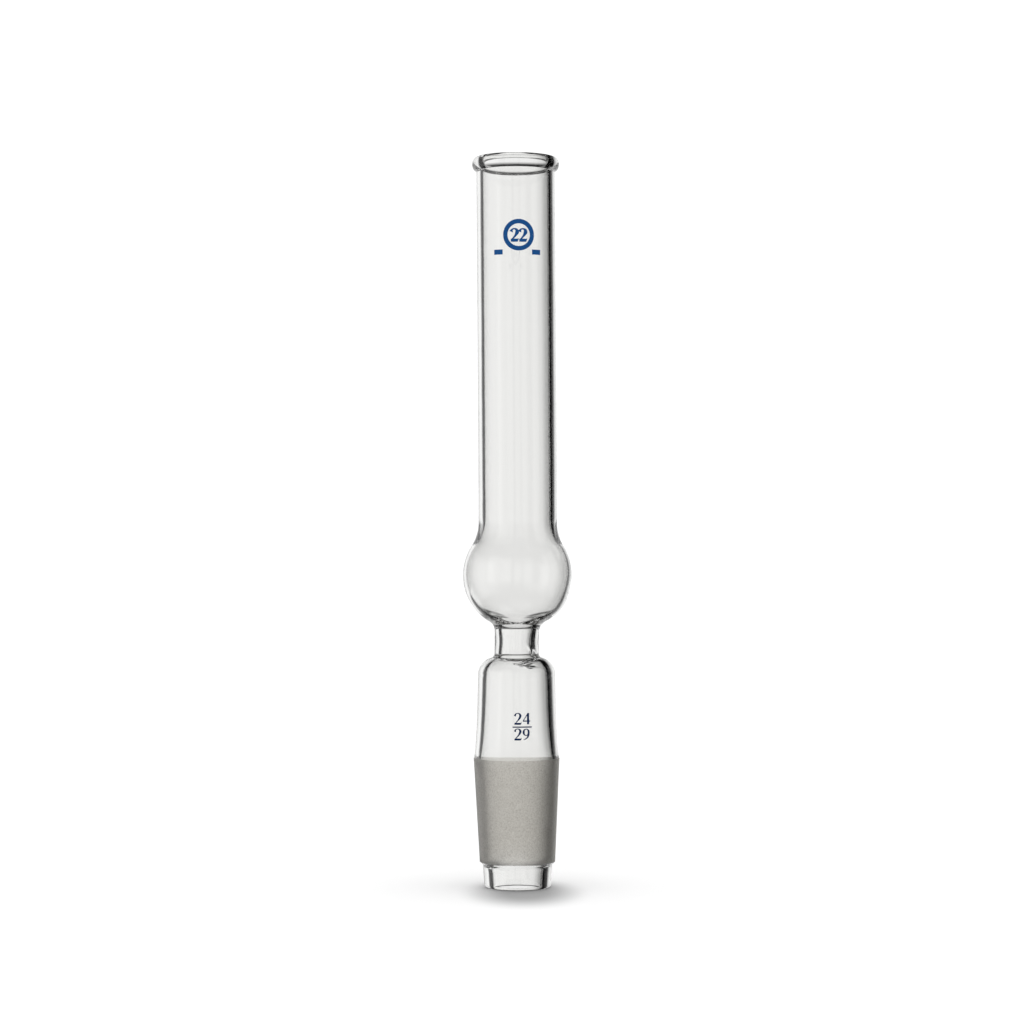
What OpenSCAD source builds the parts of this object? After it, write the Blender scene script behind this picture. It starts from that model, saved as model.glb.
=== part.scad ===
// Drying tube with a ground cone: one piece of blown borosilicate glass.
// It stands on its open tip, with the axis on Z and the origin at the centre of the end face.
// All sizes are in millimetres.

/* [Body tube] */
// Outside diameter of the straight tube that holds the drying agent
tube_d = 22; // [18:0.2:28]
// Thickness of its wall
tube_wall = 1.8; // [1:0.1:2.4]
// Length of its straight part, from the bulb's fillet to the rim
tube_h = 98.4; // [50:0.2:150]

/* [Rim] */
// How far the fire-polished bead stands out from the tube
rim_out = 1.2; // [0.4:0.1:2.4]
// Height of the bead
rim_h = 4; // [2.4:0.1:6]
// Half the width of the bead, from its outside to its crown
rim_half_w = 1.6; // [1.2:0.1:2]
// Height of the rounding inside the mouth
lip_h = 0.9; // [0.4:0.1:2]

/* [Bulb] */
// Outside diameter of the round bulb
bulb_d = 30.4; // [27:0.2:44]
// Thickness of its wall
bulb_wall = 1; // [0.6:0.1:2]
// Outside fillet between the bulb and the body tube
bulb_top_fillet = 12; // [4:0.5:20]
// Outside fillet between the bulb and the neck
bulb_foot_fillet = 3; // [1:0.1:6]
// How far the inside of the bulb is raised, which leaves its foot thick
bulb_in_up = 0.4; // [0:0.1:0.8]
// Rounding of the edge where the neck opens into the bulb
bulb_hole_round = 0.8; // [0.4:0.1:1.6]

/* [Neck] */
// Outside diameter of the narrow neck
neck_d = 12.4; // [8:0.1:17]
// Thickness of its wall
neck_wall = 1.8; // [1:0.1:2.2]
// Length of its straight part
neck_h = 6.2; // [3:0.2:20]
// Outside fillet between the neck and the shoulder
neck_fillet = 1.4; // [0.6:0.1:2.6]
// Rounding of the neck's bore where it opens into the joint tube
neck_in_fillet = 1; // [0.6:0.1:2.6]
// How far below the neck's foot that rounding starts
neck_in_drop = 1.4; // [0:0.1:2]

/* [Joint tube] */
// Outside diameter of the joint tube under its shoulder
joint_d = 21.6; // [18:0.2:23.2]
// Thickness of its wall
joint_wall = 2.2; // [1.4:0.1:2.6]
// Length from the ground cone to the shoulder
joint_h = 23.1; // [10:0.1:40]
// Outside radius of the shoulder
shoulder_r = 5; // [3.5:0.1:7]
// Inside radius of the shoulder
shoulder_in_r = 4; // [2.8:0.1:4.2]

/* [Ground cone] */
// Diameter of the ground cone at its wide end
cone_d = 24; // [19:0.1:29.2]
// Length of the ground cone
cone_h = 29; // [14:0.5:42]
// Length of cone in which it loses one millimetre of diameter
cone_taper = 10; // [8:0.5:20]
// Thickness of the wall behind the ground surface
cone_wall = 1.8; // [1.4:0.05:2.6]
// Depth of the bevel above the ground surface
bevel_in = 0.22; // [0.1:0.02:0.6]
// Height of that bevel
bevel_h = 0.7; // [0.3:0.1:1.5]

/* [Tip] */
// Length of the plain tip below the ground cone
tip_h = 7.2; // [4.5:0.1:16]
// Step from the ground surface in to the tip
tip_step = 0.8; // [0.3:0.1:1.5]
// How much narrower the tip's end is than its root, on the radius
tip_draw = 0.4; // [0:0.1:1]
// Thickness of the tip's wall
tip_wall = 2.5; // [1.8:0.1:3]
// Rounding of the fire-polished end, inside and out
tip_round = 0.8; // [0.3:0.05:0.85]
// Height over which the bore widens from the tip to the cone
throat_h = 3; // [1:0.1:6]

/* [Hidden] */
$fn = 180;
ARC_STEP = 6;    // degrees of arc between two points of an outline
CURVE_STEPS = 12; // points on a flare or a throat

// Radii, outside and inside
tube_r = tube_d / 2;
bore_r = tube_r - tube_wall;
bulb_r = bulb_d / 2;
bulb_in_r = bulb_r - bulb_wall;
neck_r = neck_d / 2;
neck_in_r = neck_r - neck_wall;
joint_r = joint_d / 2;
joint_in_r = joint_r - joint_wall;
cone_r = cone_d / 2;
cone_foot_r = cone_r - cone_h / cone_taper / 2;
tip_root_r = cone_foot_r - tip_step;
tip_end_r = tip_root_r - tip_draw;
flare_r = cone_r - bevel_in;
crown_r = tube_r + rim_out - rim_half_w;

// The fillet inside the top of the bulb runs a wall's thickness behind the outside one
bulb_top_in_fillet = bulb_top_fillet + tube_wall;

// How far an arc of radius r, centred at radius c, lies below the centre of a second arc of
// radius s that touches it and is centred at radius d. A flat ring joins them when d is inside c.
function rise(c, r, d, s) = d > c ? sqrt(pow(r + s, 2) - pow(d - c, 2)) : r + s;
// Angle at which the first of those arcs reaches the second
function turn(c, r, d, s) = d > c ? atan2(rise(c, r, d, s), d - c) : 90;

// Centres of the two arcs of the shoulder, outside and inside
shoulder_c = joint_r - shoulder_r;
shoulder_in_c = joint_in_r - shoulder_in_r;
neck_foot_c = neck_r + neck_fillet;
neck_foot_in_c = neck_in_r + neck_in_fillet;
shoulder_rise = rise(shoulder_c, shoulder_r, neck_foot_c, neck_fillet);
shoulder_in_rise = rise(shoulder_in_c, shoulder_in_r, neck_foot_in_c, neck_in_fillet);

// Distances from the bulb's centre to the centres of its fillets
foot_drop = rise(0, bulb_r, neck_r + bulb_foot_fillet, bulb_foot_fillet);
top_rise = rise(0, bulb_r, tube_r + bulb_top_fillet, bulb_top_fillet);
top_in_rise = rise(0, bulb_in_r, bore_r + bulb_top_in_fillet, bulb_top_in_fillet);

// Heights, from the end face up
cone_z = tip_h;
joint_z = cone_z + cone_h;
shoulder_z = joint_z + joint_h;
neck_z = shoulder_z + shoulder_rise;
neck_in_z = neck_z - neck_in_drop;
bulb_foot_z = neck_z + neck_h;
bulb_z = bulb_foot_z + foot_drop;
bulb_in_z = bulb_z + bulb_in_up;
tube_z = bulb_z + top_rise;
rim_z = tube_z + tube_h;
top_z = rim_z + rim_h;

// The bulb's inner sphere ends at the neck's bore, where the edge is rounded over
hole_c = neck_in_r + bulb_hole_round;
hole_in_drop = sqrt(pow(bulb_in_r + bulb_hole_round, 2) - pow(hole_c, 2));
hole_turn = atan2(-hole_in_drop, hole_c);

// Points on an ellipse of half axes a and b about [r, z], from angle a0 to angle a1
function oval(r, z, a, b, a0, a1) =
    let (n = max(2, ceil(abs(a1 - a0) / ARC_STEP)))
    [for (i = [0:n]) let (t = a0 + (a1 - a0) * i / n) [r + a * cos(t), z + b * sin(t)]];
// Points on a circle
function arc(r, z, radius, a0, a1) = oval(r, z, radius, radius, a0, a1);
// Smooth step from 0 to 1
function ease(u) = u * u * (3 - 2 * u);
// The joint tube's share of its flare: half an even taper, half a late curl
function flare(u) = (u + pow(u, 4)) / 2;

// The flare of the joint tube, from the cone up, at r0 under the shoulder and r1 at the cone
function flare_line(r0, r1, z0, z1) =
    [for (i = [0:CURVE_STEPS]) let (u = 1 - i / CURVE_STEPS)
        [r0 + (r1 - r0) * flare(u), z1 + (z0 - z1) * u]];
// The throat between the tip's bore and the cone's bore, from the tip up
function throat_line(r0, r1, z0, z1) =
    [for (i = [0:CURVE_STEPS]) let (u = i / CURVE_STEPS)
        [r0 + (r1 - r0) * ease(u), z0 + (z1 - z0) * u]];

// Outside of the glass, from the end face up to the crown of the rim
shoulder_turn = turn(shoulder_c, shoulder_r, neck_foot_c, neck_fillet);
foot_turn = turn(0, bulb_r, neck_r + bulb_foot_fillet, bulb_foot_fillet);
top_turn = turn(0, bulb_r, tube_r + bulb_top_fillet, bulb_top_fillet);
outside = concat(
    arc(tip_end_r - tip_round, tip_round, tip_round, -90, 0),
    [[tip_root_r, cone_z - tip_step], [cone_foot_r, cone_z], [cone_r, joint_z]],
    flare_line(joint_r, flare_r, joint_z + bevel_h, shoulder_z),
    arc(shoulder_c, shoulder_z, shoulder_r, 3, shoulder_turn),
    arc(neck_foot_c, neck_z, neck_fillet, 180 + shoulder_turn, 180),
    arc(neck_r + bulb_foot_fillet, bulb_foot_z, bulb_foot_fillet, 180, 180 - foot_turn),
    arc(0, bulb_z, bulb_r, -foot_turn, top_turn),
    arc(tube_r + bulb_top_fillet, tube_z, bulb_top_fillet, 180 + top_turn, 180),
    oval(crown_r, top_z - rim_h / 2, rim_half_w, rim_h / 2, -acos((tube_r - crown_r) / rim_half_w), 90));

// Inside of the glass, from the end face up to the rim's crown
shoulder_in_turn = turn(shoulder_in_c, shoulder_in_r, neck_foot_in_c, neck_in_fillet);
top_in_turn = turn(0, bulb_in_r, bore_r + bulb_top_in_fillet, bulb_top_in_fillet);
inside = concat(
    arc(tip_end_r - tip_wall + tip_round, tip_round, tip_round, 270, 180),
    throat_line(tip_root_r - tip_wall, cone_foot_r - cone_wall, cone_z - throat_h / 2,
                cone_z + throat_h / 2),
    [[cone_r - cone_wall, joint_z]],
    flare_line(joint_in_r, flare_r - cone_wall, joint_z + bevel_h, shoulder_z),
    arc(shoulder_in_c, neck_in_z - shoulder_in_rise, shoulder_in_r, 3, shoulder_in_turn),
    arc(neck_foot_in_c, neck_in_z, neck_in_fillet, 180 + shoulder_in_turn, 180),
    arc(hole_c, bulb_in_z - hole_in_drop, bulb_hole_round, 180, 180 + hole_turn),
    arc(0, bulb_in_z, bulb_in_r, hole_turn, top_in_turn),
    arc(bore_r + bulb_top_in_fillet, bulb_in_z + top_in_rise, bulb_top_in_fillet, 180 + top_in_turn, 180),
    oval(crown_r, top_z - lip_h, crown_r - bore_r, lip_h, 180, 90));

// An outline's points in the opposite order
function backwards(points) = [for (i = [len(points) - 1:-1:0]) points[i]];

module drying_tube() {
    color([0.84, 0.87, 0.88, 0.6])
        rotate_extrude() polygon(concat(outside, backwards(inside)));
}

drying_tube();
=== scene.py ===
"""A drying tube of clear blown glass, with a bulb, a narrow neck and a frosted ground cone.
It stands upright on its open tip, on a plain white floor."""

import bpy
import numpy as np
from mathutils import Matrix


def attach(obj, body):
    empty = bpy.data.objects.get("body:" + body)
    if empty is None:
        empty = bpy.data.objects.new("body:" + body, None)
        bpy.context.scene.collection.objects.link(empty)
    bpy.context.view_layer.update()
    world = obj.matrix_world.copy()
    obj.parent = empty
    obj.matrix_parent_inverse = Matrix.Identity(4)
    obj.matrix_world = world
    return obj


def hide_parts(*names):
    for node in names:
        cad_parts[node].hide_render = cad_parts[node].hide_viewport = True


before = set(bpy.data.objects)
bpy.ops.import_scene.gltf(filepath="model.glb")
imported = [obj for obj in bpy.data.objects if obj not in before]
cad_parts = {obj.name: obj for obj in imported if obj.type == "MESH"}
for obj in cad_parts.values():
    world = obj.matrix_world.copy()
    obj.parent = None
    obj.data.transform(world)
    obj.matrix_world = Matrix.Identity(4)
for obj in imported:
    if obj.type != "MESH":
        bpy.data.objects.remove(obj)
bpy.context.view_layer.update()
render = bpy.context.scene


# ---------------------------------------------------------------------------------------------
# Glass body
# One wall of borosilicate glass, blown and drawn from tubing and fused into a single piece, with
# the rim and the tip melted round in the flame. The cone is ground with wet grit to a 1 in 10
# taper, which leaves it white and matt. Heights are from the end face, radii from the axis.
# ---------------------------------------------------------------------------------------------
MM = 0.001

TIP = dict(height=7.2, end_r=9.35, root_r=9.75, wall=2.5, rounding=0.8, step=0.8, throat=3.0)
CONE = dict(height=29.0, r=12.0, taper=10.0, wall=1.8, bevel_in=0.22, bevel_h=0.7)
JOINT = dict(height=23.1, r=10.8, wall=2.2, shoulder=5.0, shoulder_in=4.0)
NECK = dict(height=6.2, r=6.2, wall=1.8, fillet=1.4, in_fillet=1.0, in_drop=1.4)
BULB = dict(r=15.2, wall=1.0, top_fillet=12.0, foot_fillet=3.0, in_up=0.4, hole_round=0.8)
TUBE = dict(height=98.4, r=11.0, wall=1.8)
RIM = dict(height=4.0, out=1.2, half_w=1.6, lip=0.9)
STEPS_AROUND = 232


def line(start, end, steps):
    """Points evenly along the straight line from start to end."""
    share = np.linspace(0, 1, steps + 1)[:, None]
    return np.array(start) * (1 - share) + np.array(end) * share


def oval(centre_r, centre_z, half_r, half_z, first, last, steps):
    """Points at even angles along an ellipse: centre + (half_r cos a, half_z sin a), in degrees."""
    a = np.radians(np.linspace(first, last, steps + 1))
    return np.column_stack([centre_r + half_r * np.cos(a), centre_z + half_z * np.sin(a)])


def arc(centre_r, centre_z, radius, first, last, steps):
    """Points along a circle of that radius, from the first angle to the last, in degrees."""
    return oval(centre_r, centre_z, radius, radius, first, last, steps)


def rise(inner, outer, c_inner, c_outer):
    """Height between two touching circles' centres, sqrt((r + s)^2 - (d - c)^2), and the angle
    in degrees from the first centre to the second."""
    across = c_outer - c_inner
    height = np.sqrt((inner + outer) ** 2 - across ** 2)
    return height, np.degrees(np.arctan2(height, across))


def flare(r_top, r_foot, z_foot, z_top, steps):
    """A tube that widens downwards: half an even taper and half a late curl, (u + u^4) / 2."""
    u = np.linspace(1, 0, steps + 1)
    return np.column_stack([r_top + (r_foot - r_top) * (u + u ** 4) / 2, z_top + (z_foot - z_top) * u])


def throat(r_foot, r_top, z_foot, z_top, steps):
    """A smooth S-shaped step between two bores, 3u^2 - 2u^3."""
    u = np.linspace(0, 1, steps + 1)
    return np.column_stack([r_foot + (r_top - r_foot) * u * u * (3 - 2 * u), z_foot + (z_top - z_foot) * u])


def joined(*stretches):
    """Stretches of an outline end to end, with the points that fall on each other left out."""
    points = np.concatenate(stretches)
    gap = np.hypot(*np.diff(points, axis=0).T)
    return points[np.concatenate([[True], gap > 0.01])]


cone_foot_r = CONE["r"] - CONE["height"] / CONE["taper"] / 2
joint_z = TIP["height"] + CONE["height"]
bevel_z = joint_z + CONE["bevel_h"]
shoulder_z = joint_z + JOINT["height"]
flare_r = CONE["r"] - CONE["bevel_in"]

# The shoulder and the neck
shoulder_c = JOINT["r"] - JOINT["shoulder"]
shoulder_rise, shoulder_turn = rise(JOINT["shoulder"], NECK["fillet"], shoulder_c, NECK["r"] + NECK["fillet"])
neck_z = shoulder_z + shoulder_rise
bulb_foot_z = neck_z + NECK["height"]
neck_in_r = NECK["r"] - NECK["wall"]
neck_in_z = neck_z - NECK["in_drop"]
shoulder_in_c = JOINT["r"] - JOINT["wall"] - JOINT["shoulder_in"]
in_rise, in_turn = rise(JOINT["shoulder_in"], NECK["in_fillet"], shoulder_in_c, neck_in_r + NECK["in_fillet"])

# The bulb, with a fillet to the neck and one to the tube
foot_drop, foot_turn = rise(BULB["r"], BULB["foot_fillet"], 0, NECK["r"] + BULB["foot_fillet"])
bulb_z = bulb_foot_z + foot_drop
bulb_in_z = bulb_z + BULB["in_up"]
top_rise, top_turn = rise(BULB["r"], BULB["top_fillet"], 0, TUBE["r"] + BULB["top_fillet"])
bulb_in_r = BULB["r"] - BULB["wall"]
bore_r = TUBE["r"] - TUBE["wall"]
in_fillet = BULB["top_fillet"] + TUBE["wall"]
top_in_rise, top_in_turn = rise(bulb_in_r, in_fillet, 0, bore_r + in_fillet)
hole_drop, hole_turn = rise(bulb_in_r, BULB["hole_round"], 0, neck_in_r + BULB["hole_round"])
tube_z = bulb_z + top_rise
rim_z = tube_z + TUBE["height"]
top_z = rim_z + RIM["height"]
crown_r = TUBE["r"] + RIM["out"] - RIM["half_w"]
under_rim = np.degrees(np.arccos((TUBE["r"] - crown_r) / RIM["half_w"]))

outside = joined(
    arc(TIP["end_r"] - TIP["rounding"], TIP["rounding"], TIP["rounding"], -90, 0, 8),
    line((TIP["end_r"], TIP["rounding"]), (TIP["root_r"], TIP["height"] - TIP["step"]), 3),
    line((TIP["root_r"], TIP["height"] - TIP["step"]), (cone_foot_r, TIP["height"]), 2),
    line((cone_foot_r, TIP["height"]), (CONE["r"], joint_z), 8),
    line((CONE["r"], joint_z), (flare_r, bevel_z), 3),
    flare(JOINT["r"], flare_r, bevel_z, shoulder_z, 60),
    arc(shoulder_c, shoulder_z, JOINT["shoulder"], 3, shoulder_turn, 30),
    arc(NECK["r"] + NECK["fillet"], neck_z, NECK["fillet"], 180 + shoulder_turn, 180, 10),
    line((NECK["r"], neck_z), (NECK["r"], bulb_foot_z), 12),
    arc(NECK["r"] + BULB["foot_fillet"], bulb_foot_z, BULB["foot_fillet"], 180, 180 - foot_turn, 12),
    arc(0, bulb_z, BULB["r"], -foot_turn, top_turn, 42),
    arc(TUBE["r"] + BULB["top_fillet"], tube_z, BULB["top_fillet"], 180 + top_turn, 180, 14),
    line((TUBE["r"], tube_z), (TUBE["r"], rim_z), 10),
    oval(crown_r, top_z - RIM["height"] / 2, RIM["half_w"], RIM["height"] / 2, -under_rim, 90, 24))
inside = joined(
    arc(TIP["end_r"] - TIP["wall"] + TIP["rounding"], TIP["rounding"], TIP["rounding"], 270, 180, 8),
    throat(TIP["root_r"] - TIP["wall"], cone_foot_r - CONE["wall"], TIP["height"] - TIP["throat"] / 2,
           TIP["height"] + TIP["throat"] / 2, 10),
    line((cone_foot_r - CONE["wall"], TIP["height"] + TIP["throat"] / 2),
         (CONE["r"] - CONE["wall"], joint_z), 8),
    flare(JOINT["r"] - JOINT["wall"], flare_r - CONE["wall"], bevel_z, shoulder_z, 18),
    arc(shoulder_in_c, neck_in_z - in_rise, JOINT["shoulder_in"], 3, in_turn, 14),
    arc(neck_in_r + NECK["in_fillet"], neck_in_z, NECK["in_fillet"], 180 + in_turn, 180, 12),
    line((neck_in_r, neck_in_z), (neck_in_r, bulb_in_z - hole_drop), 14),
    arc(neck_in_r + BULB["hole_round"], bulb_in_z - hole_drop, BULB["hole_round"], 180, 180 - hole_turn, 8),
    arc(0, bulb_in_z, bulb_in_r, -hole_turn, top_in_turn, 42),
    arc(bore_r + in_fillet, bulb_in_z + top_in_rise, in_fillet, 180 + top_in_turn, 180, 14),
    line((bore_r, bulb_in_z + top_in_rise), (bore_r, top_z - RIM["lip"]), 10),
    oval(crown_r, top_z - RIM["lip"], crown_r - bore_r, RIM["lip"], 180, 90, 12))


def lean(z):
    """How far the axis stands off the middle, in mm, at height z: the tube is bent by hand at the
    bulb, so it leans a little to the left above it and a little to the right below."""
    return np.interp(z, [0, 36, 66, 88, 106, 204], [0.2, -0.12, -0.12, 0.08, 0.26, -0.42])


def linked(grid_rows, grid_columns):
    """Four-cornered faces over a grid of points that closes on itself both ways."""
    row = np.arange(grid_rows)[:, None]
    column = np.arange(grid_columns)[None, :]
    next_row, next_column = (row + 1) % grid_rows, (column + 1) % grid_columns
    corners = [row * grid_columns + column, row * grid_columns + next_column,
               next_row * grid_columns + next_column, next_row * grid_columns + column]
    return np.stack([np.broadcast_to(c, (grid_rows, grid_columns)) for c in corners], -1).reshape(-1, 4)


def new_piece(name, points, faces, materials, smooth=True):
    """A mesh object in metres, from points in mm and faces as lists of corners."""
    mesh = bpy.data.meshes.new(name)
    mesh.from_pydata((points * MM).tolist(), [], faces.tolist())
    mesh.update()
    mesh.polygons.foreach_set("use_smooth", np.full(len(faces), smooth))
    for material in materials:
        mesh.materials.append(material)
    piece = bpy.data.objects.new(name, mesh)
    render.collection.objects.link(piece)
    return piece


def linear(hex_colour):
    """An sRGB hex colour as linear red, green, blue and full alpha."""
    c = np.array([int(hex_colour[i:i + 2], 16) for i in (1, 3, 5)]) / 255
    return (*np.where(c <= 0.04045, c / 12.92, ((c + 0.055) / 1.055) ** 2.4), 1.0)


def add(tree, kind, inputs=None, **settings):
    """Adds a node with its settings. An input's value is a number or colour, or a socket to link."""
    node = tree.nodes.new(kind)
    for key, value in settings.items():
        setattr(node, key, value)
    for key, value in (inputs or {}).items():
        if isinstance(value, bpy.types.NodeSocket):
            tree.links.new(value, node.inputs[key])
        else:
            node.inputs[key].default_value = value
    return node


def new_material(name):
    """An empty node material and the socket of its surface."""
    material = bpy.data.materials.new(name)
    material.use_nodes = True
    material.node_tree.nodes.clear()
    output = material.node_tree.nodes.new("ShaderNodeOutputMaterial")
    return material, material.node_tree, output


# Borosilicate glass, flame polished: clear, with a very slight swell left by the flame.
clear_glass, tree, output = new_material("borosilicate_flame_polished")
where = add(tree, "ShaderNodeTexCoord")
swell = add(tree, "ShaderNodeTexNoise", {"Vector": where.outputs["Object"], "Scale": 160.0, "Detail": 1.0})
bump = add(tree, "ShaderNodeBump", {"Height": swell.outputs["Fac"], "Strength": 0.1, "Distance": 0.0002})
glass = add(tree, "ShaderNodeBsdfPrincipled", {
    "Base Color": linear("#fdfdfc"), "Roughness": 0.0, "IOR": 1.473, "Transmission Weight": 1.0,
    "Normal": bump.outputs["Normal"]})
tree.links.new(glass.outputs["BSDF"], output.inputs["Surface"])

# The same glass ground with fine grit: matt, a warm grey against the light, with a fine grain and
# no shine. Real pits are 0.03 mm across and are drawn at 0.4 mm so that they show.
ground_glass, tree, output = new_material("borosilicate_ground")
where = add(tree, "ShaderNodeTexCoord")
pits = add(tree, "ShaderNodeTexNoise", {
    "Vector": where.outputs["Object"], "Scale": 2600.0, "Detail": 4.0, "Roughness": 0.75})
tone = add(tree, "ShaderNodeValToRGB", {"Fac": pits.outputs["Fac"]})
tone.color_ramp.elements[0].position = 0.36
tone.color_ramp.elements[0].color = linear("#bab6ae")
tone.color_ramp.elements[1].position = 0.64
tone.color_ramp.elements[1].color = linear("#fbf8f1")
bump = add(tree, "ShaderNodeBump", {"Height": pits.outputs["Fac"], "Strength": 0.5, "Distance": 0.0001})
glass = add(tree, "ShaderNodeBsdfPrincipled", {
    "Base Color": tone.outputs["Color"], "Roughness": 0.5, "IOR": 1.473, "Transmission Weight": 1.0,
    "Specular IOR Level": 0.3, "Normal": bump.outputs["Normal"]})
tree.links.new(glass.outputs["BSDF"], output.inputs["Surface"])

outline = np.concatenate([outside, inside[::-1][1:-1]])
around = np.linspace(0, 2 * np.pi, STEPS_AROUND, endpoint=False)
radius, turn = np.meshgrid(outline[:, 0], around, indexing="ij")
height = np.meshgrid(outline[:, 1], around, indexing="ij")[0]


def lump(turn, z, at_turn, at_z, half_turn, half_z):
    """A smooth bump over the surface: exp(-(angle / half_turn)^2 - (height / half_z)^2)."""
    off = (turn - at_turn + np.pi) % (2 * np.pi) - np.pi
    return np.exp(-(off / half_turn) ** 2 - ((z - at_z) / half_z) ** 2)


# Marks of hand work, each so many mm out (or in, below zero) at its middle. Angles run from the
# right, and the front is at -90 degrees.
on_outside = np.arange(len(outline))[:, None] < len(outside)
ALL_ROUND = 1e3

# The neck's bore is pinched in at mid height.
WAIST = -0.3
neck_middle = (neck_z + bulb_foot_z) / 2
waist = np.where(on_outside, 0.0, WAIST) * lump(turn, height, 0, neck_middle, ALL_ROUND, 2.2)

# The seal, where the neck was fused to the shoulder, left a groove that slants down to the right.
SEAL = dict(depth=-0.8, at=-54.5, z=65.7, slant_from=67, slant=9)
seal_turn = np.radians(SEAL["at"] + (SEAL["slant_from"] - height) * SEAL["slant"])
seal = np.where(on_outside, SEAL["depth"], 0.0) * lump(turn, height, seal_turn, SEAL["z"], 0.09, 1.2)

# A crease in the shoulder, of two branches that spread to the right from one point.
CREASE = dict(depth=-0.85, point=276, upper_z=62.4, upper_slope=0.036, lower_z=62.3, lower_slope=-0.023)
past_point = np.degrees(turn) - CREASE["point"]
upper = lump(turn, height, np.radians(-64), CREASE["upper_z"] + past_point * CREASE["upper_slope"], 0.3, 0.34)
lower = lump(turn, height, np.radians(-75), CREASE["lower_z"] + past_point * CREASE["lower_slope"], 0.21, 0.3)
crease = np.where(on_outside, CREASE["depth"], 0.0) * np.maximum(upper, lower)

# A faint ripple across the front, just above the ground cone.
RIPPLE = -0.1
ripple = np.where(on_outside, RIPPLE, 0.0) * lump(turn, height, np.radians(-92), joint_z + 3.1, 0.5, 0.3)

# The bulb sagged to the right while it was soft.
SAG = 0.6
sag = SAG * lump(turn, height, 0, 77.5, 1.2, 4.0)

# Glass gathered inside the bulb's foot, to the left and the right, which raises its floor there.
SHELF = 0.6
shelf = np.abs(np.cos(turn)) ** 3 * lump(turn, height, 0, bulb_foot_z + 2.6, ALL_ROUND, 1.5)

radius = radius + waist + seal + crease + ripple + sag
height = height + np.where(on_outside, 0.0, SHELF) * shelf
points = np.stack([radius * np.cos(turn) + lean(height), radius * np.sin(turn), height], -1).reshape(-1, 3)
faces = linked(len(outline), STEPS_AROUND)
glass_body = new_piece("glass_body", points, faces, [clear_glass, ground_glass])
middle = points[faces].mean(1)
ring = np.repeat(np.arange(len(outline)), STEPS_AROUND)
is_ground = (ring < len(outside) - 1) & (middle[:, 2] > TIP["height"]) & (middle[:, 2] < joint_z)
glass_body.data.polygons.foreach_set("material_index", is_ground.astype(np.int32))
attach(glass_body, "root")
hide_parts("drying_tube")


# ---------------------------------------------------------------------------------------------
# Enamel marks
# Ceramic enamel, screened on to the glass and fired, so that it stands up a few hundredths of a
# millimetre. The cone's size is written above it, and a ring with the tube's own diameter in
# millimetres and two plain dashes mark the tube.
# ---------------------------------------------------------------------------------------------
ENAMEL = 0.04  # how far the enamel stands up, in mm


def smooth_line(corners, steps=8):
    """A Catmull-Rom curve through the corners: cubic stretches whose slope at each corner is half
    the way from the corner before it to the corner after it."""
    p = np.array(corners, float)
    ends = np.concatenate([[2 * p[0] - p[1]], p, [2 * p[-1] - p[-2]]])
    u = np.linspace(0, 1, steps, endpoint=False)[None, :, None]
    a, b, c, d = (ends[i:len(ends) - 3 + i, None, :] for i in range(4))
    curve = 0.5 * (2 * b + (c - a) * u + (2 * a - 5 * b + 4 * c - d) * u ** 2
                   + (3 * b - a - 3 * c + d) * u ** 3)
    return np.concatenate([curve.reshape(-1, p.shape[1]), p[-1:]])


def stroke(path):
    """The closed shell of one stroke on a flat sheet, from rows of x, z and width: a ribbon with a
    top and a bottom, as points (x, z, lift) and faces."""
    x, z, width = path.T
    along = np.gradient(np.column_stack([x, z]), axis=0)
    along /= np.linalg.norm(along, axis=1)[:, None]
    side = np.column_stack([-along[:, 1], along[:, 0]]) * width[:, None] / 2
    centre = np.column_stack([x, z])
    edge = [centre + side, centre - side]
    lift = np.full(len(x), ENAMEL)
    rows = [np.column_stack([edge[0], 0 * lift]), np.column_stack([edge[1], 0 * lift]),
            np.column_stack([edge[1], lift]), np.column_stack([edge[0], lift])]
    points = np.stack(rows, 1).reshape(-1, 3)
    n = len(x)
    ring, corner = np.meshgrid(np.arange(n - 1), np.arange(4), indexing="ij")
    faces = np.stack([ring * 4 + corner, ring * 4 + (corner + 1) % 4, (ring + 1) * 4 + (corner + 1) % 4,
                      (ring + 1) * 4 + corner], -1).reshape(-1, 4)
    caps = np.array([[3, 2, 1, 0], [4 * n - 4, 4 * n - 3, 4 * n - 2, 4 * n - 1]])
    return points, np.concatenate([faces, caps])


def printed(name, strokes, surface_r, material):
    """One mark made of strokes, wrapped round the front of the glass: x runs round the surface as
    an angle of x / r, and z stays upright. surface_r gives the glass's radius at each height."""
    points, faces, count = [], [], 0
    for path in strokes:
        p, f = stroke(path)
        points.append(p)
        faces.append(f + count)
        count += len(p)
    x, z, lift = np.concatenate(points).T
    r = surface_r(z)
    wrapped = np.column_stack([(r + lift) * np.sin(x / r) + lean(z), -(r + lift) * np.cos(x / r), z])
    piece = new_piece(name, wrapped, np.concatenate(faces), [material], smooth=False)
    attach(piece, "root")
    return piece


def enamel(name, thick_colour, thin_colour):
    """Fired ceramic enamel: opaque, with a low gloss and slight mottling where it thinned out."""
    material, tree, output = new_material(name)
    where = add(tree, "ShaderNodeTexCoord")
    mottle = add(tree, "ShaderNodeTexNoise", {
        "Vector": where.outputs["Object"], "Scale": 2500.0, "Detail": 2.0})
    colour = add(tree, "ShaderNodeMix", {
        "Factor": mottle.outputs["Fac"], "A": linear(thick_colour), "B": linear(thin_colour)},
        data_type="RGBA")
    shader = add(tree, "ShaderNodeBsdfPrincipled", {
        "Base Color": colour.outputs["Result"], "Roughness": 0.4, "Specular IOR Level": 0.2})
    tree.links.new(shader.outputs["BSDF"], output.inputs["Surface"])
    return material


def glass_r(z):
    """Radius of the outside of the glass at height z."""
    return np.interp(z, outside[:, 1], outside[:, 0])


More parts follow.
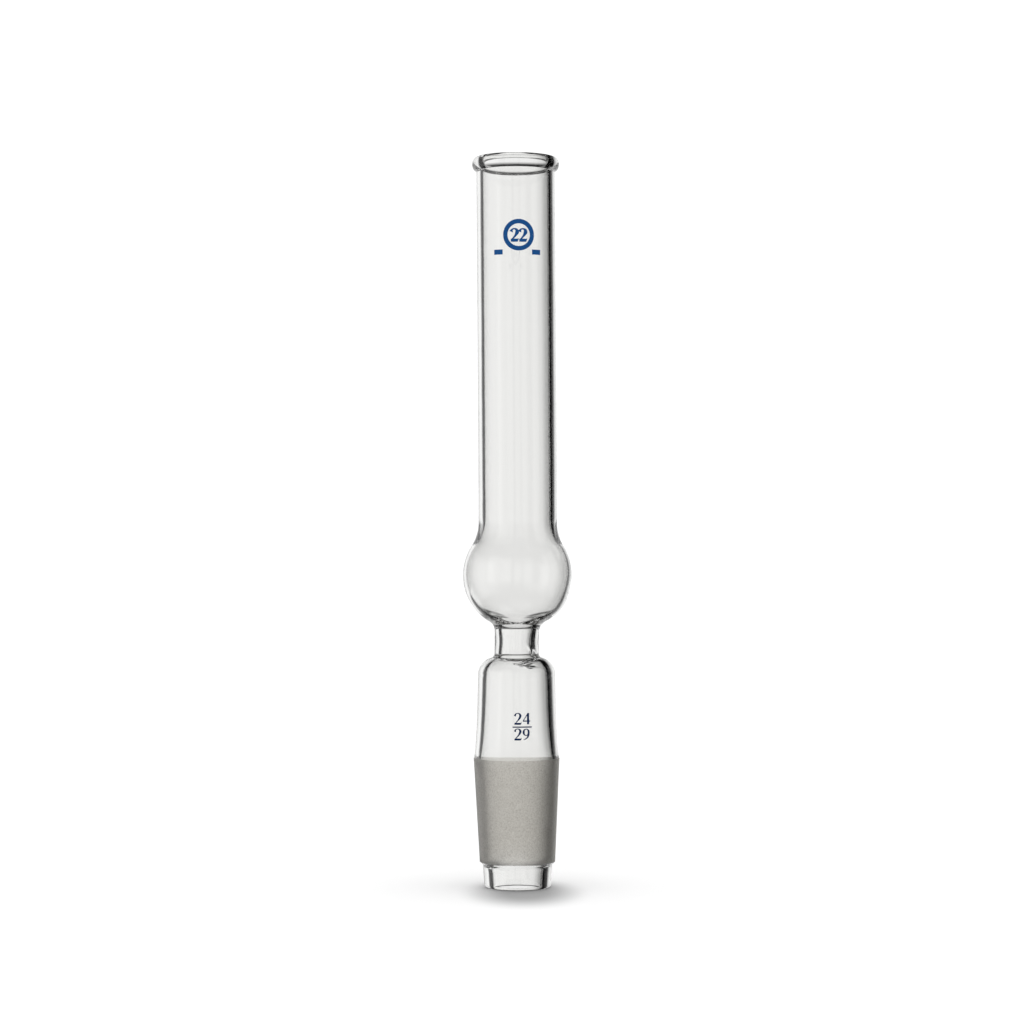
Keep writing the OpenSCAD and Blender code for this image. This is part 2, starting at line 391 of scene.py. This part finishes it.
# Each digit's strokes as (x, z, width), in shares of the digit's height
TWO = [smooth_line([(0.05, 0.74, 0.13), (0.13, 0.92, 0.06), (0.31, 0.985, 0.05), (0.47, 0.88, 0.10),
                    (0.5, 0.7, 0.13), (0.38, 0.45, 0.08), (0.2, 0.22, 0.05), (0.04, 0.05, 0.04)]),
       smooth_line([(0.02, 0.05, 0.1), (0.3, 0.05, 0.11), (0.56, 0.05, 0.1)]),
       smooth_line([(0.53, 0.06, 0.06), (0.57, 0.11, 0.04), (0.6, 0.2, 0.02)])]
FOUR = [smooth_line([(0.45, 0.98, 0.05), (0.24, 0.64, 0.045), (0.03, 0.3, 0.045)]),
        smooth_line([(0.01, 0.29, 0.065), (0.3, 0.29, 0.065), (0.63, 0.29, 0.065)]),
        smooth_line([(0.45, 1.0, 0.12), (0.45, 0.5, 0.12), (0.45, 0.0, 0.12)])]
turns = np.radians(np.linspace(0, 360, 65))
NINE = [np.column_stack([0.29 + 0.215 * np.cos(turns), 0.68 + 0.28 * np.sin(turns),
                         0.045 + 0.07 * np.cos(turns) ** 2]),
        smooth_line([(0.505, 0.7, 0.11), (0.49, 0.45, 0.1), (0.36, 0.18, 0.07), (0.08, 0.01, 0.03)])]
DIGITS = {"2": TWO, "4": FOUR, "9": NINE}
BROAD = 1.08  # how much the digits are widened


def number(text, left, foot, tall, pitch, weight):
    """The strokes of a number: each digit's shape scaled to its height and set at its place."""
    strokes = []
    for i, digit in enumerate(text):
        for path in DIGITS[digit]:
            strokes.append(path * [tall * BROAD, tall, tall * weight] + [left + i * pitch, foot, 0])
    return strokes


def bar(left, right, z, thick):
    """A straight level line of even thickness."""
    return np.column_stack([np.linspace(left, right, 24), np.full(24, z), np.full(24, thick)])


dark_enamel = enamel("ceramic_enamel_dark_blue", "#041c40", "#0a2c58")
blue_enamel = enamel("ceramic_enamel_blue", "#003e76", "#044c88")
MARK_X, MARK_Z, DIGIT_TALL, DIGIT_PITCH, DIGIT_WEIGHT = 1.6, 45.5, 3.1, 2.35, 1.6
ABOVE_BAR, BELOW_BAR, BAR_HALF, BAR_THICK = 0.75, 0.45, 2.7, 0.34
SIDE_GAP = 0.1  # how far the digits stand to the right of the bar's middle
left = MARK_X - DIGIT_PITCH + SIDE_GAP
under_bar = MARK_Z - BELOW_BAR - DIGIT_TALL
size_mark = (number("24", left, MARK_Z + ABOVE_BAR, DIGIT_TALL, DIGIT_PITCH, DIGIT_WEIGHT)
             + number("29", left, under_bar, DIGIT_TALL, DIGIT_PITCH, DIGIT_WEIGHT)
             + [bar(MARK_X - BAR_HALF, MARK_X + BAR_HALF, MARK_Z, BAR_THICK)])
printed("size_mark", size_mark, glass_r, dark_enamel)

RING_X, RING_Z, RING_R, RING_WIDE = 0.75, 181.4, 3.75, 1.25
NUMBER_TALL, NUMBER_PITCH, NUMBER_WEIGHT = 3.4, 2.35, 2.4
DASH_Z, DASH_THICK = 176.7, 1.4
round_ring = np.column_stack([
    RING_X + RING_R * np.cos(turns), RING_Z + RING_R * np.sin(turns), np.full(len(turns), RING_WIDE)])
tube_number = number("22", RING_X - 2.3, RING_Z - NUMBER_TALL / 2, NUMBER_TALL, NUMBER_PITCH, NUMBER_WEIGHT)
dashes = [bar(-6.4, -3.8, DASH_Z, DASH_THICK), bar(4.5, 7.1, DASH_Z, DASH_THICK)]
printed("tube_mark", [round_ring] + tube_number + dashes, glass_r, blue_enamel)


# ---------------------------------------------------------------------------------------------
# Floor, light and camera
# A sheet of matt white paper under the glass, in a white tent with dark panels between its lit
# ones. The panels show only through the glass and in it, where they draw its edges dark.
# ---------------------------------------------------------------------------------------------

# Matt white paper. The soft shadow round the foot of the glass is partly cast and partly painted: a painted
# shadow darkens the paper's colour in an oval pool, darkest next to the glass.
white_floor_painted_shade, tree, output = new_material("matt_white_paper_painted_shadow")
where = add(tree, "ShaderNodeTexCoord")
pool = add(tree, "ShaderNodeMapping", {
    "Vector": where.outputs["Object"], "Location": (0.002, -0.014, 0), "Scale": (0.0195, 0.034, 1)},
    vector_type="TEXTURE")
from_axis = add(tree, "ShaderNodeVectorMath", {0: pool.outputs["Vector"]}, operation="LENGTH")
# Painted shadow: the floor's colour falls to 0.44 of white next to the foot, and the oval reaches about 48 mm
# in front of the axis.
painted_shadow = add(tree, "ShaderNodeMapRange", {
    "Value": from_axis.outputs["Value"], "From Min": 0.2, "From Max": 1.0, "To Min": 0.44, "To Max": 1.0},
    interpolation_type="SMOOTHSTEP")
paper = add(tree, "ShaderNodeBsdfDiffuse", {"Color": painted_shadow.outputs["Result"]})
tree.links.new(paper.outputs["BSDF"], output.inputs["Surface"])
FLOOR_HALF = 4000.0
corners = np.array([[-1, -1, 0], [1, -1, 0], [1, 1, 0], [-1, 1, 0]]) * FLOOR_HALF
floor = new_piece("floor", corners, np.array([[0, 1, 2, 3]]), [white_floor_painted_shade], smooth=False)
floor.visible_transmission = False
floor.visible_glossy = False

world = bpy.data.worlds.new("light_tent")
render.world = world
world.use_nodes = True
world.cycles.sampling_method = "NONE"
tree = world.node_tree
tree.nodes.clear()
where = add(tree, "ShaderNodeTexCoord")
axes = add(tree, "ShaderNodeSeparateXYZ", {"Vector": where.outputs["Generated"]})
# The compass direction of the light as a share of a full turn, from the right
azimuth = add(tree, "ShaderNodeMath", {0: axes.outputs["Y"], 1: axes.outputs["X"]}, operation="ARCTAN2")
share = add(tree, "ShaderNodeMath", {0: azimuth.outputs["Value"], 1: 1 / (2 * np.pi)}, operation="MULTIPLY")
share = add(tree, "ShaderNodeMath", {0: share.outputs["Value"], 1: 1.0}, operation="ADD")
share = add(tree, "ShaderNodeMath", {0: share.outputs["Value"], 1: 1.0}, operation="MODULO")


def tent(stops):
    """The tent's brightness round the compass, from pairs of degrees and brightness."""
    ramp = add(tree, "ShaderNodeValToRGB", {"Fac": share.outputs["Value"]})
    while len(ramp.color_ramp.elements) > 1:
        ramp.color_ramp.elements.remove(ramp.color_ramp.elements[0])
    for i, (degrees, bright) in enumerate(stops):
        if i == 0:
            element = ramp.color_ramp.elements[0]
            element.position = degrees / 360
        else:
            element = ramp.color_ramp.elements.new(degrees / 360)
        element.color = (bright, bright, bright, 1)
    return ramp.outputs["Color"]


def window(centre):
    """One lit panel: bright in the middle, with its left edge crisp and its right edge soft."""
    right = [(-27, 0.0), (-23, 0.35), (-15, 0.62), (-8, 0.88), (-3, 0.98)]
    left = [(10, 1.0), (22, 1.06), (28, 1.05), (34, 0.6), (39, 0.0)]
    return [(centre + d, b) for d, b in right + left]


# Seen through the glass: the tent at eye level and its lower part, from which the light comes up
level = tent([(0, 0.35), (16, 0.25), (24, 0.0)] + window(90) + window(180)
             + [(230, 0.0), (240, 0.8), (275, 0.8), (281, 0.0), (288, 1.0), (342, 1.0), (348, 0.0),
                (354, 0.35)])
low = tent([(0, 0.2), (20, 0.0), (85, 0.0), (88, 1.0), (94, 1.0), (97, 0.0), (120, 0.0), (126, 1.0),
            (144, 1.0), (150, 0.0), (158, 0.0), (164, 0.6), (198, 0.6), (206, 0.0), (230, 0.0),
            (240, 0.6), (275, 0.6), (281, 0.0), (288, 1.0), (342, 1.0), (348, 0.0), (354, 0.2)])
# Mirrored in the glass
mirrored = tent([(0, 0.05), (30, 0.05), (50, 1.0), (220, 1.0), (240, 0.05), (360, 0.05)])
below = add(tree, "ShaderNodeMapRange", {"Value": axes.outputs["Z"], "From Min": -0.24, "From Max": -0.3})
through = add(tree, "ShaderNodeMix", {
    "Factor": below.outputs["Result"], "A": level, "B": low}, data_type="RGBA")
path = add(tree, "ShaderNodeLightPath")
in_glass = add(tree, "ShaderNodeMix", {
    "Factor": path.outputs["Is Reflection Ray"], "A": through.outputs["Result"], "B": mirrored},
    data_type="RGBA")
# The tent is dark overhead and low down, and lit again straight below
overhead = add(tree, "ShaderNodeMapRange", {
    "Value": axes.outputs["Z"], "From Min": 0.28, "From Max": 0.5, "To Min": 0.92, "To Max": 0.02})
underfoot = add(tree, "ShaderNodeMapRange", {
    "Value": axes.outputs["Z"], "From Min": -0.64, "From Max": -0.52, "To Min": 0.02, "To Max": 1.0})
straight_down = add(tree, "ShaderNodeMapRange", {
    "Value": axes.outputs["Z"], "From Min": -0.92, "From Max": -0.84, "To Min": 0.9, "To Max": 0.0})
downwards = add(tree, "ShaderNodeMath", {
    0: underfoot.outputs["Result"], 1: straight_down.outputs["Result"]}, operation="MAXIMUM")
height_light = add(tree, "ShaderNodeMath", {
    0: overhead.outputs["Result"], 1: downwards.outputs["Value"]}, operation="MULTIPLY")
inner_light = add(tree, "ShaderNodeBackground", {
    "Color": in_glass.outputs["Result"], "Strength": height_light.outputs["Value"]})
# Plain white light for everything that isn't seen through or in the glass
open_light = add(tree, "ShaderNodeBackground", {"Color": (1, 1, 1, 1), "Strength": 1.1})
in_open = add(tree, "ShaderNodeMath", {
    0: path.outputs["Is Camera Ray"], 1: path.outputs["Is Diffuse Ray"]}, operation="MAXIMUM")
mixed = add(tree, "ShaderNodeMixShader", {
    0: in_open.outputs["Value"], 1: inner_light.outputs["Background"], 2: open_light.outputs["Background"]})
add(tree, "ShaderNodeOutputWorld", {"Surface": mixed.outputs["Shader"]})

camera = bpy.data.objects.new("camera", bpy.data.cameras.new("camera"))
render.collection.objects.link(camera)
camera.data.sensor_width = 36.0
# Metres: from the camera to the axis, the camera's height, the height it looks at, and the width
# of the view at the axis
distance, eye_z, look_z, across = 0.74, 0.1, 0.1035, 0.2896
camera.data.lens = camera.data.sensor_width * distance / across
camera.location = (0, -distance, eye_z)
camera.rotation_euler = (np.pi / 2 - np.arctan((eye_z - look_z) / distance), 0, 0)
render.camera = camera

render.view_settings.view_transform = "Standard"
render.view_settings.look = "None"
render.cycles.max_bounces = 48
render.cycles.transmission_bounces = 48
render.cycles.glossy_bounces = 48
render.cycles.caustics_refractive = False
render.cycles.caustics_reflective = False
